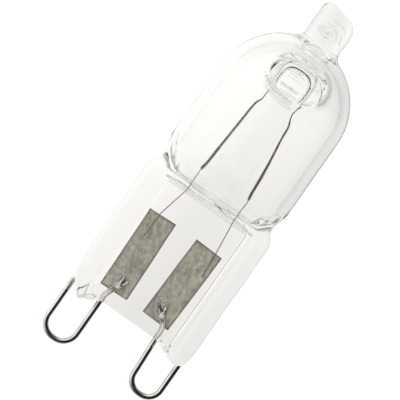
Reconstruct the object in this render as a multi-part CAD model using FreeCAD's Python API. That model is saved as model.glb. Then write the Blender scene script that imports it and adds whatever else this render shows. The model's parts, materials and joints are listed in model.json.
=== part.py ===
import FreeCAD, Part

import math
import os

V = FreeCAD.Vector

# All lengths are in millimetres and all angles in degrees. The lamp is drawn upright: x runs across
# the pinch, y through its thickness with the front at -y, and z from the contact loops to the tip,
# with zero at the lower edge of the web. One last placement lays the finished lamp down.

# Bulb of clear quartz, blown from tube
bulb_radius = 6.7
bulb_wall = 0.95
bulb_straight = 5.95
shoulder_radius = 5.0
neck_depth = 0.62
neck_rise = 1.1
neck_spread = 1.15
cavity_floor_width = 9.2
cavity_floor_depth = 0.9
shoulder_sections = 8
points_round_section = 24
pinch_squareness = 4.5

# Exhaust tip, melted off on top of the dome
tip_radius = 2.03
tip_height = 4.1
tip_slant = 12.0
tip_edge_round = 0.5
bore_root_radius = 0.9
bore_end_radius = 0.3
bore_length = 1.7

# Two dimples pressed in from front and back until they fuse into a glass pillar
dimple_rise = 2.25
dimple_neck_radius = 1.15
dimple_mouth_width = 6.4
dimple_mouth_height = 4.5
dimple_flare_power = 2.6
dimple_sections = 6
dimple_overreach = 1.08
septum_thickness = 0.8
pillar_waist_radius = 1.55
pillar_mouth_wall = 0.7

# Pinch: a thin web between two thick ribs, with a bar of full thickness under the bulb
pinch_width = 13.96
pinch_thickness = 4.2
pinch_height = 14.0
pinch_edge_round = 0.85
pinch_corner_round = 1.1
web_thickness = 2.4
web_round = 0.5
rib_width = 2.3
jaw_bar_height = 0.9
foot_drop = 1.04
foot_arch_width = 6.1
foot_arch_slope = 1.95
foot_arch_round = 0.3
left_foot_taper = 1.03
left_foot_taper_rise = 5.3
left_foot_taper_round = 5.0
shoulder_sink = 0.1

# Molybdenum foils, sealed in the web
foil_width = 3.0
foil_length = 8.5
foil_thickness = 0.04
foil_pitch = 5.08
foil_offset = -0.21
foil_base = 1.35
foil_lean = 1.9
weld_press = 0.015

# Contact loops of round wire, whose tails are crimped flat and welded to the foils
wire_diameter = 0.55
loop_pitch = 9.52
loop_width = 3.25
left_loop_drop = 5.71
right_loop_drop = 5.38
left_loop_lean = 0.0
right_loop_lean = 0.32
loop_roundness = 0.92
left_leg_embed = 1.42
right_leg_embed = 0.42
left_tail_bend_height = 0.6
right_tail_bend_height = 1.25
tail_bend_radius = 1.2
tail_overlap = 1.75
left_tail_shift = 0.2
right_tail_shift = -0.5
paddle_length = 1.5
paddle_width = 0.85
paddle_thickness = 0.16
paddle_corner = 0.2

# Inner leads of thin wire, from the foils up to the filament
lead_diameter = 0.1
lead_overlap = 2.6
left_lead_outset = 0.49
right_lead_outset = 0.91
left_lead_foot_outset = 0.55
right_lead_foot_outset = 1.1
lead_grip = 1.2

# Filament: a close coil drawn as its outer form, thicker where it grips the leads
filament_foot_rise = 1.85
filament_foot_pitch = 5.34
filament_foot_offset = 0.17
sleeve_diameter = 0.28
sleeve_length = 3.6
coil_diameter = 0.2
kink_pitch = 3.94
kink_drop = 3.45
kink_rise = 0.65
hook_wire_diameter = 0.12
hook_clearance = 0.03
hook_leg_length = 2.2
hook_roundness = 0.98

# Heights and depths that follow from the sizes above
pinch_half_depth = pinch_thickness / 2
neck_end_depth = pinch_half_depth - 0.5 * pinch_edge_round
shoulder_turn = math.acos(1 - (bulb_radius - neck_end_depth) / shoulder_radius)
straight_start = pinch_height - shoulder_sink + shoulder_radius * math.sin(shoulder_turn)
dome_centre = straight_start + bulb_straight
dome_top = dome_centre + bulb_radius
cavity_radius = bulb_radius - bulb_wall
dimple_height = dome_centre + dimple_rise
foot_bottom = -foot_drop
foil_front = -foil_thickness / 2
lead_plane = foil_front - lead_diameter / 2 + weld_press
loop_plane = foil_front - wire_diameter / 2 + weld_press
filament_foot = pinch_height + filament_foot_rise
hook_radius = pillar_waist_radius + hook_wire_diameter / 2 + hook_clearance
same_place = 1e-6

# Sizes that differ by side, found by side: -1 on the left and 1 on the right
loop_drop = {-1: left_loop_drop, 1: right_loop_drop}
loop_lean = {-1: left_loop_lean, 1: right_loop_lean}
leg_embed = {-1: left_leg_embed, 1: right_leg_embed}
tail_bend_height = {-1: left_tail_bend_height, 1: right_tail_bend_height}
tail_shift = {-1: left_tail_shift, 1: right_tail_shift}
lead_outset = {-1: left_lead_outset, 1: right_lead_outset}
lead_foot_outset = {-1: left_lead_foot_outset, 1: right_lead_foot_outset}


def foil_centre(side):
    """Middle of a foil across the web; side is -1 on the left and 1 on the right."""
    return foil_offset + side * foil_pitch / 2


def oval(half_width, half_depth, squareness, place):
    """One closed section, from a circle or ellipse (squareness 2) towards a rounded oblong."""
    points = []
    for step in range(points_round_section):
        angle = 2 * math.pi * step / points_round_section
        across, through = math.cos(angle), math.sin(angle)
        spread = abs(across) ** squareness + abs(through) ** squareness
        scale = spread ** (-1 / squareness)
        points.append(place(half_width * scale * across, half_depth * scale * through))
    curve = Part.BSplineCurve()
    curve.interpolate(Points=points, PeriodicFlag=True)
    return Part.Wire([curve.toShape()])


def level_oval(half_width, half_depth, squareness, height):
    return oval(half_width, half_depth, squareness, lambda u, v: V(u, v, height))


def outer_skin():
    """Outside of the blown bulb, from the flat neck over the shoulder to the dome."""
    sections = []
    for step in range(shoulder_sections):
        turn = shoulder_turn * (1 - step / shoulder_sections)
        height = straight_start - shoulder_radius * math.sin(turn)
        depth = bulb_radius - shoulder_radius * (1 - math.cos(turn))
        neck = math.exp(-(((height - pinch_height - neck_rise) / neck_spread) ** 2))
        width = bulb_radius - neck_depth * neck
        squareness = 2 + (pinch_squareness - 2) * (turn / shoulder_turn) ** 3
        sections.append(level_oval(width, depth, squareness, height))
    return skin(sections, bulb_radius)


def inner_skin():
    """Inside of the bulb: the same form one wall further in, closed to a narrow slot at the pinch."""
    floor_width, floor_depth = cavity_floor_width / 2, cavity_floor_depth / 2
    sections = []
    for step in range(shoulder_sections):
        turn = math.pi / 2 * (1 - step / shoulder_sections)
        height = straight_start - (straight_start - pinch_height) * math.sin(turn)
        width = floor_width + (cavity_radius - floor_width) * math.cos(turn)
        depth = floor_depth + (cavity_radius - floor_depth) * math.cos(turn)
        squareness = 2 + (pinch_squareness - 2) * math.sin(turn) ** 6
        sections.append(level_oval(width, depth, squareness, height))
    return skin(sections, cavity_radius)


def skin(shoulder, radius):
    """Bands through the shoulder's sections, under a straight tube with a round dome."""
    rim = Part.Wire([Part.makeCircle(radius, V(0, 0, straight_start))])
    bands = Part.makeLoft(shoulder + [rim], True, True)
    middle, side = V(0, 0, straight_start), V(radius, 0, straight_start)
    turn, top = V(radius, 0, dome_centre), V(0, 0, dome_centre + radius)
    halfway = V(radius * math.sqrt(0.5), 0, dome_centre + radius * math.sqrt(0.5))
    profile = Part.Wire([Part.LineSegment(middle, side).toShape(), Part.LineSegment(side, turn).toShape(),
                         Part.Arc(turn, halfway, top).toShape(), Part.LineSegment(top, middle).toShape()])
    return bands.fuse(Part.Face(profile).revolve(middle, V(0, 0, 1), 360))


def flared_loft(start, end, neck_radius, mouth_width, mouth_height):
    """A trumpet along y that widens from a round neck to an oval mouth at the bulb's surface."""
    sections = []
    for step in range(dimple_sections):
        share = step / (dimple_sections - 1)
        along = start + (end - start) * share
        flare = (along / bulb_radius) ** dimple_flare_power
        half_width = neck_radius + (mouth_width / 2 - neck_radius) * flare
        half_height = neck_radius + (mouth_height / 2 - neck_radius) * flare
        place = lambda u, v, along=along: V(u, -along, dimple_height + v)
        sections.append(oval(half_width, half_height, 2, place))
    return Part.makeLoft(sections, True, True)


def both_faces(shape):
    """The shape and its mirror image on the other face of the lamp."""
    return [shape, shape.mirror(V(0, 0, 0), V(0, 1, 0))]


def dimples():
    """The air side of the pressed dimples."""
    reach = bulb_radius * dimple_overreach
    return both_faces(flared_loft(septum_thickness / 2, reach, dimple_neck_radius,
                                  dimple_mouth_width, dimple_mouth_height))


def pillar():
    """The gas side of the dimples: a waisted pillar of glass from one face to the other."""
    halves = both_faces(flared_loft(0, bulb_radius, pillar_waist_radius,
                                    dimple_mouth_width + 2 * pillar_mouth_wall,
                                    dimple_mouth_height + 2 * pillar_mouth_wall))
    return halves[0].fuse(halves[1])


def rounded_edges(corners, radii, closed):
    """Straight runs through the corners, with a tangent arc of the given radius at each one."""
    count = len(corners)
    edges = []
    turning = range(count) if closed else range(1, count - 1)
    ends = {}
    for index in turning:
        corner = corners[index]
        back = (corners[index - 1] - corner).normalize()
        ahead = (corners[(index + 1) % count] - corner).normalize()
        half = back.getAngle(ahead) / 2
        setback = radii[index] / math.tan(half)
        middle = (back + ahead).normalize() * (radii[index] / math.sin(half) - radii[index])
        ends[index] = (corner + back * setback, corner + middle, corner + ahead * setback)
    for index in range(count):
        following = (index + 1) % count
        if following or closed:
            start = ends[index][2] if index in ends else corners[index]
            end = ends[following][0] if following in ends else corners[following]
            if index in ends:
                edges.append(Part.Arc(*ends[index]).toShape())
            edges.append(Part.LineSegment(start, end).toShape())
    return Part.Wire(edges)


def plate(corners, radii, front, back):
    """A flat outline in the plane of the pinch, given thickness from front to back."""
    outline = rounded_edges([V(x, front, z) for x, z in corners], radii, True)
    return Part.Face(outline).extrude(V(0, back - front, 0))


def tube(points, radii, depth, diameter):
    """Round wire that follows the points in a plane parallel to the pinch."""
    spots = [V(x, depth, z) for x, z in points]
    path = rounded_edges(spots, radii, False)
    section = Part.Wire([Part.makeCircle(diameter / 2, spots[0], spots[1] - spots[0])])
    return path.makePipeShell([section], True, False)


def bent_wire(points, depth, diameter):
    """Thin round wire with slight, sharp bends, in a plane parallel to the pinch."""
    spots = [V(x, depth, z) for x, z in points]
    section = Part.Wire([Part.makeCircle(diameter / 2, spots[0], spots[1] - spots[0])])
    return Part.makePolygon(spots).makePipeShell([section], True, False, 1)


def pinch_body():
    """The pressed pinch: rounded block, thinned to a web front and back, with feet under the ribs."""
    half_width = pinch_width / 2
    corners = [(-half_width, pinch_height), (half_width, pinch_height),
               (half_width, foot_bottom), (left_foot_taper - half_width, foot_bottom),
               (-half_width, foot_bottom + left_foot_taper_rise)]
    radii = [pinch_corner_round] * 4 + [left_foot_taper_round]
    block = plate(corners, radii, -pinch_half_depth, pinch_half_depth)
    rims = [edge for edge in block.Edges
            if all(abs(abs(vertex.Y) - pinch_half_depth) < same_place for vertex in edge.Vertexes)
            and abs(edge.Vertexes[0].Y - edge.Vertexes[-1].Y) < same_place]
    block = block.makeFillet(pinch_edge_round, rims)
    recess_half = half_width - rib_width
    recess_depth = pinch_thickness - web_thickness
    recess = Part.makeBox(2 * recess_half, recess_depth, pinch_height - jaw_bar_height + 2 * foot_drop,
                          V(-recess_half, -web_thickness / 2 - recess_depth, -2 * foot_drop))
    floor_edges = [edge for edge in recess.Edges
                   if all(abs(vertex.Y + web_thickness / 2) < same_place for vertex in edge.Vertexes)
                   and edge.CenterOfMass.z > -2 * foot_drop + same_place]
    recess = recess.makeFillet(web_round, floor_edges)
    arch_half = foot_arch_width / 2
    arch_foot = arch_half + foot_arch_slope
    arch = plate([(-arch_half, 0), (arch_half, 0), (arch_foot + foot_arch_slope, -2 * foot_drop),
                  (-arch_foot - foot_arch_slope, -2 * foot_drop)], [foot_arch_round] * 4,
                 -pinch_thickness, pinch_thickness)
    return block.cut(both_faces(recess) + [arch])


def exhaust_tip():
    """The melted-off stub: a short rod with a slanted, rounded end."""
    root = dome_centre + math.sqrt(bulb_radius**2 - tip_radius**2) - bulb_wall
    top = dome_top + tip_height
    stub = Part.makeCylinder(tip_radius, top - root, V(0, 0, root))
    slice_size = 6 * tip_radius
    above = Part.makeBox(slice_size, slice_size, slice_size, V(0, -slice_size / 2, 0))
    above.rotate(V(0, 0, 0), V(0, 1, 0), tip_slant)
    above.translate(V(-tip_radius, 0, top))
    stub = stub.cut(above)
    rim = max(stub.Edges, key=lambda edge: edge.CenterOfMass.z)
    return stub.makeFillet(tip_edge_round, [rim])


def exhaust_bore():
    """The last of the pumping hole, drawn in to a blunt point under the solid tip."""
    root = dome_centre + math.sqrt(cavity_radius**2 - bore_root_radius**2) - bulb_wall / 2
    return Part.makeCone(bore_root_radius, bore_end_radius, bore_length, V(0, 0, root))


def foil(side):
    """One foil, leaning a little, as a thin slab in the middle of the web."""
    slab = Part.makeBox(foil_width, foil_thickness, foil_length,
                        V(-foil_width / 2, foil_front, -foil_length / 2))
    slab.rotate(V(0, 0, 0), V(0, 1, 0), side * foil_lean)
    slab.translate(V(foil_centre(side), 0, foil_base + foil_length / 2))
    return slab


def contact_loop(side):
    """One contact: a U of wire whose outer end is held in the foot and whose tail meets the foil."""
    middle = side * loop_pitch / 2
    outer, inner = middle + side * loop_width / 2, middle - side * loop_width / 2
    low = wire_diameter / 2 - loop_drop[side]
    foot = inner + side * loop_lean[side]
    tail = (foil_centre(side) + tail_shift[side], foil_base + tail_overlap)
    bend = (inner, tail_bend_height[side])
    points = [(outer, foot_bottom + leg_embed[side]), (outer, low), (foot, low), bend, tail]
    loop_bend = loop_roundness * abs(outer - foot) / 2
    wire = tube(points, [0, loop_bend, loop_bend, tail_bend_radius, 0], loop_plane, wire_diameter)
    lean = math.degrees(math.atan2(tail[0] - bend[0], tail[1] - bend[1]))
    half = paddle_width / 2
    paddle = plate([(-half, -paddle_length), (half, -paddle_length), (half, 0), (-half, 0)],
                   [paddle_corner] * 4, foil_front - paddle_thickness, foil_front)
    paddle.rotate(V(0, 0, 0), V(0, 1, 0), lean)
    paddle.translate(V(tail[0], 0, tail[1]))
    return wire.fuse(paddle)


def inner_lead(side):
    """One thin lead: welded on the foil, out through the pinch and up into the filament."""
    centre = foil_centre(side)
    foil_top = foil_base + foil_length
    foot_x = filament_foot_offset + side * filament_foot_pitch / 2
    kink_x = side * kink_pitch / 2
    rise = dimple_height - kink_drop - filament_foot
    grip = lead_grip / math.hypot(rise, kink_x - foot_x)
    points = [(centre + side * lead_foot_outset[side], foil_top - lead_overlap),
              (centre + side * lead_outset[side], foil_top),
              (foot_x, pinch_height - jaw_bar_height),
              (foot_x, filament_foot),
              (foot_x + (kink_x - foot_x) * grip, filament_foot + rise * grip)]
    return bent_wire(points, lead_plane, lead_diameter)


def filament():
    """Two straight coils joined by a bare hook of wire over the glass pillar."""
    pieces = []
    for side in (-1, 1):
        foot = V(filament_foot_offset + side * filament_foot_pitch / 2, lead_plane, filament_foot)
        kink = V(side * kink_pitch / 2, lead_plane, dimple_height - kink_drop)
        rise = (kink - foot).normalize()
        pieces.append(Part.makeCylinder(sleeve_diameter / 2, sleeve_length, foot, rise))
        coil = [(foot.x, foot.z), (kink.x, kink.z),
                (side * hook_radius, dimple_height - kink_drop + kink_rise),
                (side * hook_radius, dimple_height - hook_leg_length)]
        pieces.append(bent_wire(coil, lead_plane, coil_diameter))
    hook_low = dimple_height - kink_drop + kink_rise
    hook_top = dimple_height + hook_radius
    hook = [(-hook_radius, hook_low), (-hook_radius, hook_top), (hook_radius, hook_top),
            (hook_radius, hook_low)]
    bend = hook_roundness * hook_radius
    pieces.append(tube(hook, [0, bend, bend, 0], lead_plane, hook_wire_diameter))
    return pieces[0].fuse(pieces[1:])


def build():
    """Every piece of the upright lamp, each cut to meet its neighbours face to face."""
    pieces = {}
    metal = []
    for side, name in ((-1, "left"), (1, "right")):
        slab = foil(side)
        lead, loop = inner_lead(side), contact_loop(side)
        metal += [slab, lead, loop]
        pieces["foil_" + name] = slab
        pieces["inner_lead_" + name] = lead.cut(slab)
        pieces["contact_loop_" + name] = loop.cut(slab)
    leads = [pieces["inner_lead_left"], pieces["inner_lead_right"]]
    pieces["filament"] = filament().cut(leads)
    gas = inner_skin().fuse(exhaust_bore()).cut(pillar())
    glass = outer_skin().fuse([pinch_body(), exhaust_tip()])
    glass = glass.cut([gas] + dimples())
    pieces["quartz_envelope"] = glass.cut(metal)
    return pieces


def resting_placement(pieces):
    """Lays the lamp on its back, down on the bulb's shoulder and the rims of both feet."""
    run = straight_start - foot_bottom - pinch_edge_round
    rise = bulb_radius - shoulder_radius - pinch_half_depth + pinch_edge_round
    lift = shoulder_radius - pinch_edge_round
    tilt = math.degrees(math.atan2(rise, run) + math.asin(lift / math.hypot(run, rise)))
    lay = FreeCAD.Placement(V(0, 0, 0), FreeCAD.Rotation(V(1, 0, 0), tilt - 90))
    laid = [shape.transformed(lay.toMatrix(), True) for shape in pieces.values()]
    box = Part.makeCompound(laid).optimalBoundingBox(False, False)
    return FreeCAD.Placement(V(-box.Center.x, -box.Center.y, -box.ZMin), lay.Rotation)


def main():
    os.makedirs("parts", exist_ok=True)
    pieces = build()
    rest = resting_placement(pieces).toMatrix()
    for name, shape in pieces.items():
        laid = shape.transformed(rest, True)
        print(name, laid.isValid(), len(laid.Solids), round(laid.Volume, 4))
        laid.exportStep("parts/" + name + ".step")


if __name__ == "__main__":
    main()
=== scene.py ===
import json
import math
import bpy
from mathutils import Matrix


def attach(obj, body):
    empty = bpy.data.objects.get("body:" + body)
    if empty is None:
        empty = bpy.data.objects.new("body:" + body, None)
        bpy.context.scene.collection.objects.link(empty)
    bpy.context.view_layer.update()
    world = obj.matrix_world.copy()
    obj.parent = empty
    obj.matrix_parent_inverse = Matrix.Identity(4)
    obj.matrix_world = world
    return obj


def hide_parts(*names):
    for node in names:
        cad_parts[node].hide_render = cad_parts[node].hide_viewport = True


bl_info = {
    "name": "Halogen capsule lamp",
    "version": (1, 0, 0),
    "blender": (4, 5, 0),
    "location": "3D View > Sidebar > Capsule lamp",
    "description": "Quartz capsule with its filament, foils and contact loops, made around the packed model",
    "category": "Object",
}

from functools import partial
from types import SimpleNamespace

import bpy
import numpy as np
from bpy.props import FloatProperty, FloatVectorProperty, PointerProperty
from mathutils import Matrix, Vector

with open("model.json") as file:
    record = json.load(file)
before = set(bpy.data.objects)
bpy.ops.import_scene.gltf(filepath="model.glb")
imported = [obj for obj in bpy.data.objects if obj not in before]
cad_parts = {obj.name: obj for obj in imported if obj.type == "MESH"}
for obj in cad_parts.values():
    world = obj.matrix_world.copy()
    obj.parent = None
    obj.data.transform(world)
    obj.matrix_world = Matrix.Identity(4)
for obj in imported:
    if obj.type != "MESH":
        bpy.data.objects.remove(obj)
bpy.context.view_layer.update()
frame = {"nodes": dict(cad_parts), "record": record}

MM = 0.001
NODES = frame["nodes"]
MOUNTS = {mount["name"]: mount for mount in frame["record"]["mounts"]}


def lamp_frame():
    """The upright lamp's own axes: x across the pinch, y from front to back, z from loops to tip."""
    up = -Vector(MOUNTS["holder_base"]["axis"])
    back = -Vector(MOUNTS["web_front"]["axis"])
    turned = Matrix((back.cross(up), back, up)).transposed().to_4x4()
    return Matrix.Translation(MOUNTS["holder_base"]["pos_m"]) @ turned


LAMP = lamp_frame()
# Where the lamp's own zero point lies in object coordinates that are turned to its axes, in millimetres
LAMP_BASE = LAMP.to_3x3().transposed() @ LAMP.translation / MM


# Small helpers shared by every piece


def linear(hex_colour):
    """A colour written as sRGB hex, as the linear numbers that shaders take."""
    parts = [int(hex_colour[i:i + 2], 16) / 255 for i in (1, 3, 5)]
    return tuple(c / 12.92 if c <= 0.04045 else ((c + 0.055) / 1.055) ** 2.4 for c in parts)


def length(name, description, millimetres):
    return FloatProperty(name=name, description=description, default=millimetres * MM, min=0, unit="LENGTH",
                         precision=5)


def colour(name, description, hex_colour):
    return FloatVectorProperty(name=name, description=description, subtype="COLOR", size=3, min=0, max=1,
                               default=linear(hex_colour))


def in_millimetres(group):
    """The lengths of a property group, in millimetres."""
    found = {p.identifier: getattr(group, p.identifier) / MM
             for p in group.bl_rna.properties if p.type == "FLOAT" and p.unit == "LENGTH"}
    return SimpleNamespace(**found)


def add_node(tree, kind, settings=None, links=None):
    """Adds one node, sets its properties or inputs, and links inputs to sockets or nodes' first outputs."""
    node = tree.nodes.new(kind)
    for key, value in (settings or {}).items():
        if isinstance(key, str) and hasattr(node, key):
            setattr(node, key, value)
        else:
            node.inputs[key].default_value = value
    for key, source in (links or {}).items():
        tree.links.new(getattr(source, "outputs", [source])[0], node.inputs[key])
    return node


def rgba(colour_value, share=1):
    """The colour, or a darker or lighter share of it, without any see-through."""
    return (*(min(1, c * share) for c in colour_value), 1)


def new_material(name):
    """An empty material, and the function that adds nodes to it."""
    material = bpy.data.materials.new(name)
    material.use_nodes = True
    material.node_tree.nodes.clear()
    return material, partial(add_node, material.node_tree)


def along_lamp(add, scale):
    """Object coordinates turned to the lamp's own axes, times a scale per millimetre."""
    place = add("ShaderNodeTexCoord")
    turn = LAMP.to_3x3().transposed().to_euler()
    size = tuple(s / MM for s in scale)
    turned = add("ShaderNodeMapping", {"Rotation": turn}, {"Vector": place.outputs["Object"]})
    return add("ShaderNodeMapping", {"Scale": size}, {"Vector": turned})


def place_mesh(name, points, faces, material, replaced=()):
    """A mesh from points in the lamp's millimetres, set into the row's frame and riding on the body."""
    mesh = bpy.data.meshes.new(name)
    mesh.from_pydata(points, [], faces)
    mesh.transform(LAMP @ Matrix.Scale(MM, 4))
    mesh.validate()
    mesh.shade_smooth()
    return place_object(name, mesh, material, replaced)


def place_object(name, mesh, material, replaced=()):
    mesh.materials.clear()
    mesh.materials.append(material)
    piece = bpy.data.objects.new(name, mesh)
    bpy.context.scene.collection.objects.link(piece)
    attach(piece, "root")
    if replaced:
        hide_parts(*replaced)
    return piece


# Distance fields: below zero inside the form, in millimetres, on arrays of x, y and z


def join_soft(a, b, melt):
    """Both forms, run together over a width of about melt."""
    share = np.clip(0.5 + 0.5 * (b - a) / melt, 0, 1)
    return b + (a - b) * share - melt * share * (1 - share)


def cut_soft(a, b, melt):
    """The first form without the second, with a melted lip."""
    return -join_soft(-a, b, melt)


def meet_round(a, b, radius):
    """Where both forms are, with the edge between them rounded."""
    outer_a, outer_b = np.maximum(a + radius, 0), np.maximum(b + radius, 0)
    return np.minimum(np.maximum(a + radius, b + radius), 0) + np.hypot(outer_a, outer_b) - radius


def oval_gap(u, v, half_u, half_v, squareness):
    """Distance to an oval, from an ellipse (squareness 2) towards a rounded oblong."""
    share_u, share_v = np.abs(u) / half_u + 1e-9, np.abs(v) / half_v + 1e-9
    size = (share_u ** squareness + share_v ** squareness) ** (1 / squareness)
    slope_u = (share_u / size) ** (squareness - 1) / half_u
    slope_v = (share_v / size) ** (squareness - 1) / half_v
    return (size - 1) / np.hypot(slope_u, slope_v)


def outline_gap(x, z, corners):
    """Distance to a closed outline with straight sides."""
    nearest = np.full(np.broadcast(x, z).shape, np.inf)
    inside = np.zeros(nearest.shape, bool)
    for index, (x1, z1) in enumerate(corners):
        x0, z0 = corners[index - 1]
        dx, dz = x1 - x0, z1 - z0
        along = np.clip(((x - x0) * dx + (z - z0) * dz) / (dx * dx + dz * dz), 0, 1)
        nearest = np.minimum(nearest, np.hypot(x - x0 - along * dx, z - z0 - along * dz))
        if dz:
            crosses = ((z0 <= z) != (z1 <= z)) & (x < x0 + (z - z0) * dx / dz)
            inside = inside ^ crosses
    return np.where(inside, -nearest, nearest)


def fold(x, z, start, end, width, height):
    """A raised or sunken line from start to end, fading out over its width."""
    dx, dz = end[0] - start[0], end[1] - start[1]
    along = np.clip(((x - start[0]) * dx + (z - start[1]) * dz) / (dx * dx + dz * dz), 0, 1)
    gap = np.hypot(x - start[0] - along * dx, z - start[1] - along * dz)
    return height * np.exp(-(gap / width) ** 2)


def ripple(x, y, z):
    """The slow unevenness of glass that was worked hot, from -1 to 1."""
    first = np.sin(0.83 * x + 1.21 * z + 0.6) * np.cos(0.74 * y - 0.38 * z + 1.1)
    second = np.sin(1.63 * x - 0.57 * y + 0.49 * z + 2.3) * np.cos(0.91 * z - 0.66 * x)
    return 0.6 * first + 0.4 * second


# The pinch's outline seen from the front, clockwise from where its left side leaves the neck
PINCH_OUTLINE = [
    (-5.9, 17.1), (5.6, 17.0), (6.05, 16.3), (6.1, 15.7), (6.0, 15.0), (6.2, 14.4), (6.7, 13.85),
    (6.93, 13.35), (6.98, 12.7), (6.98, 1.6), (6.94, 0.5), (6.8, -0.35), (6.56, -0.68), (6.0, -0.95),
    (5.6, -0.95), (3.7, -0.15), (3.1, 0.0), (-2.9, 0.0), (-3.35, -0.17), (-4.85, -0.96), (-5.08, -1.02),
    (-5.32, -0.85), (-6.56, 0.85), (-6.8, 1.9), (-6.9, 2.85), (-6.98, 4.7), (-6.98, 12.7), (-6.93, 13.35),
    (-6.7, 13.85), (-6.2, 14.4), (-6.0, 15.0), (-6.15, 15.7), (-6.25, 16.4)]
# Lines in the front of the neck and of the left rib, fainter in the back: from, to, width and height
FOLDS = [((-4.7, 15.9), (-4.5, 14.3), 0.2, 0.07), ((4.5, 14.2), (6.1, 15.7), 0.28, 0.08),
         ((4.4, 14.3), (4.5, 15.9), 0.2, -0.03), ((-4.4, 13.35), (-2.6, 13.6), 0.18, 0.05),
         ((-5.9, 2.1), (-5.1, 2.5), 0.3, 0.1), ((-5.6, 9.2), (-5.4, 11.4), 0.35, 0.04)]

# The dimples: lean of their mouths to the right, edge and squareness of their bottoms, melt of their lips
MOUTH_LEAN, BOTTOM_EDGE, BOTTOM_SQUARENESS, LIP_MELT = 0.25, 0.25, 3.6, 0.45
# The pillar: how far it sits below the dimples' middle, its squareness and the edges round it
PILLAR_DROP, PILLAR_SQUARENESS, PILLAR_EDGE = 0.15, 2.6, 0.15
# The creases of the shoulder: half width at the pinch and growth with height on each side, and how far
# outside and inside of them the glass keeps
LEFT_CREASE, RIGHT_CREASE = (4.6, 0.9), (4.7, 1.05)
CREASE_OUTWARDS, CREASE_INWARDS, CREASE_MELT = 0.55, 0.35, 0.9
# The neck: height and reach of its waist, and how the pinch thins out above its top
WAIST_HEIGHT, WAIST_REACH, THINNING, THINNING_HEIGHT = 1.1, 1.15, 1.5, 3.4
# The tip: round of its end's edge, and depth of its root in the dome
TIP_EDGE, TIP_ROOT = 0.95, 1.5
# The web's recess: middle, half width, slope of its flanks, bar above it, and rounds of its corners and edge
WEB_MIDDLE, WEB_HALF_WIDTH, WEB_FLANK, WEB_BAR, WEB_CORNER, WEB_EDGE = 0.12, 4.68, 0.6, 0.8, 0.35, 0.4
# The slot in which the gas space ends: half its height, and rounds of its corners and bottom
SLOT_HALF_HEIGHT, SLOT_CORNER, SLOT_BOTTOM = 0.8, 0.4, 0.34


def heights(s):
    """Heights and angles of the capsule that follow from its sizes."""
    half_neck = s.pinch_thickness / 2 - 0.425
    turn = math.acos(1 - (s.bulb_radius - half_neck) / s.shoulder_radius)
    tube_start = s.pinch_height - 0.1 + s.shoulder_radius * math.sin(turn)
    dome_centre = tube_start + s.tube_length
    return SimpleNamespace(shoulder_turn=turn, tube_start=tube_start, dome_centre=dome_centre,
                           dome_top=dome_centre + s.bulb_radius, dimple=dome_centre + s.dimple_rise)


def trough_gap(s, h, x, y, z, wall, rounding):
    """Distance to the troughs of both dimples: oblong at the bottom, rounder and wider at the mouth."""
    share = np.minimum(np.abs(y) / s.bulb_radius, 1.15)
    flare = share ** 2
    half_width = (s.dimple_neck_width + (s.dimple_width - s.dimple_neck_width) * flare) / 2 + wall
    half_height = (s.dimple_neck_height + (s.dimple_height - s.dimple_neck_height) * flare) / 2 + wall
    squareness = BOTTOM_SQUARENESS - rounding * np.minimum(share, 1)
    return oval_gap(x - MOUTH_LEAN * share, z - h.dimple, half_width, half_height, squareness)


def pressed_dimple(s, h, x, y, z):
    """The air side of both dimples, with level bottoms."""
    return meet_round(trough_gap(s, h, x, y, z, 0, 1.6), s.septum / 2 - np.abs(y), BOTTOM_EDGE)


def glass_pillar(s, h, x, y, z):
    """The glass round both dimples, and the pillar in which their bottoms are fused."""
    around = trough_gap(s, h, x, y, z, s.mouth_wall, 1.4)
    around = meet_round(around, s.coil_gap / 2 - np.abs(y), PILLAR_EDGE)
    core = oval_gap(x, z - h.dimple + PILLAR_DROP, s.pillar_width / 2, s.pillar_height / 2,
                    PILLAR_SQUARENESS)
    return join_soft(around, core, PILLAR_EDGE)


def crease(s, x, z):
    """Half width of the round bulb where its shoulder folds in to the flat corners of the pinch."""
    rise = np.maximum(z - s.pinch_height, 0)
    left, right = [base + growth * rise for base, growth in (LEFT_CREASE, RIGHT_CREASE)]
    return np.where(x < 0, left, right)


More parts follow.
